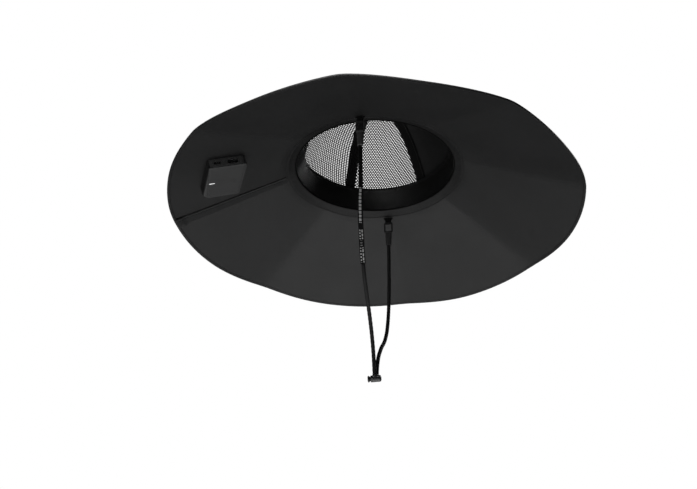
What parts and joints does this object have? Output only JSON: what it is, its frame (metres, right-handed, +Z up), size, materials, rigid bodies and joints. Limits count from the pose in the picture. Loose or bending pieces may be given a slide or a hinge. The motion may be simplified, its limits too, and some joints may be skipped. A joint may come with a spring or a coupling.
{
  "type": "solar panel hat",
  "caption": "Wide-brimmed sun hat with solar panels on its brim, a mesh-sided dome crown, a power box with ports under the brim and a cord chin strap with a press lock.",
  "frame": {"origin": "the middle of the head opening, level with the foot of the sweatband", "axes": "+Z up through the crown, +X the wearer's front, +Y the wearer's left"},
  "size_m": [0.48, 0.48, 0.3925],
  "materials": {
    "brim_fabric": "smooth woven polyester",
    "binding": "folded bias tape",
    "crown_fabric": "woven polyester",
    "crown_mesh": "open air mesh",
    "seam_tape": "flat woven tape",
    "sweatband": "soft brushed band",
    "solar_laminate": "clear laminate over dark cells",
    "box_plastic": "fine matte",
    "indicator": "pale translucent",
    "port_metal": "bright",
    "port_plastic": "plain",
    "webbing": "narrow webbing",
    "hard_plastic": "satin moulded",
    "cord": "braided",
    "ribbon": "flat woven, pale bars along one edge"
  },
  "bodies": {
    "hat": {"brim": "brim_fabric", "brim_binding": "binding", "back_seam_flap": "brim_fabric", "opening_collar": "brim_fabric", "sweatband": "sweatband", "crown_front": "crown_fabric", "crown_mesh_left": "crown_mesh", "crown_mesh_back": "crown_mesh", "crown_mesh_right": "crown_mesh", "seam_tape_front_left": "seam_tape", "seam_tape_back_left": "seam_tape", "seam_tape_back_right": "seam_tape", "seam_tape_front_right": "seam_tape", "crown_button": "crown_fabric", "solar_panel_1": "solar_laminate", "solar_panel_2": "solar_laminate", "solar_panel_3": "solar_laminate", "solar_panel_4": "solar_laminate", "solar_panel_5": "solar_laminate", "solar_panel_6": "solar_laminate", "solar_panel_7": "solar_laminate", "solar_panel_8": "solar_laminate", "control_box": "box_plastic", "usb_a_shell": "port_metal", "usb_a_tongue": "port_plastic", "usb_c_shell": "port_metal", "usb_c_tongue": "port_plastic", "box_indicator": "indicator", "strap_tab_left": "webbing", "strap_tab_right": "webbing", "strap_ring_left": "hard_plastic", "strap_ring_right": "hard_plastic", "cord_end_left": "hard_plastic", "cord_end_right": "hard_plastic", "cord_left": "cord", "strap_ribbon": "ribbon", "cord_right": "cord", "cord_lock_body": "hard_plastic"},
    "lock_button": {"cord_lock_button": "hard_plastic"}
  },
  "joints": [
    {"name": "cord_lock_press", "type": "slide", "parent": "hat", "child": "lock_button", "axis": [1, 0, 0], "range_m": [0, 0.0016], "stiffness_N_per_m": 600}
  ]
}
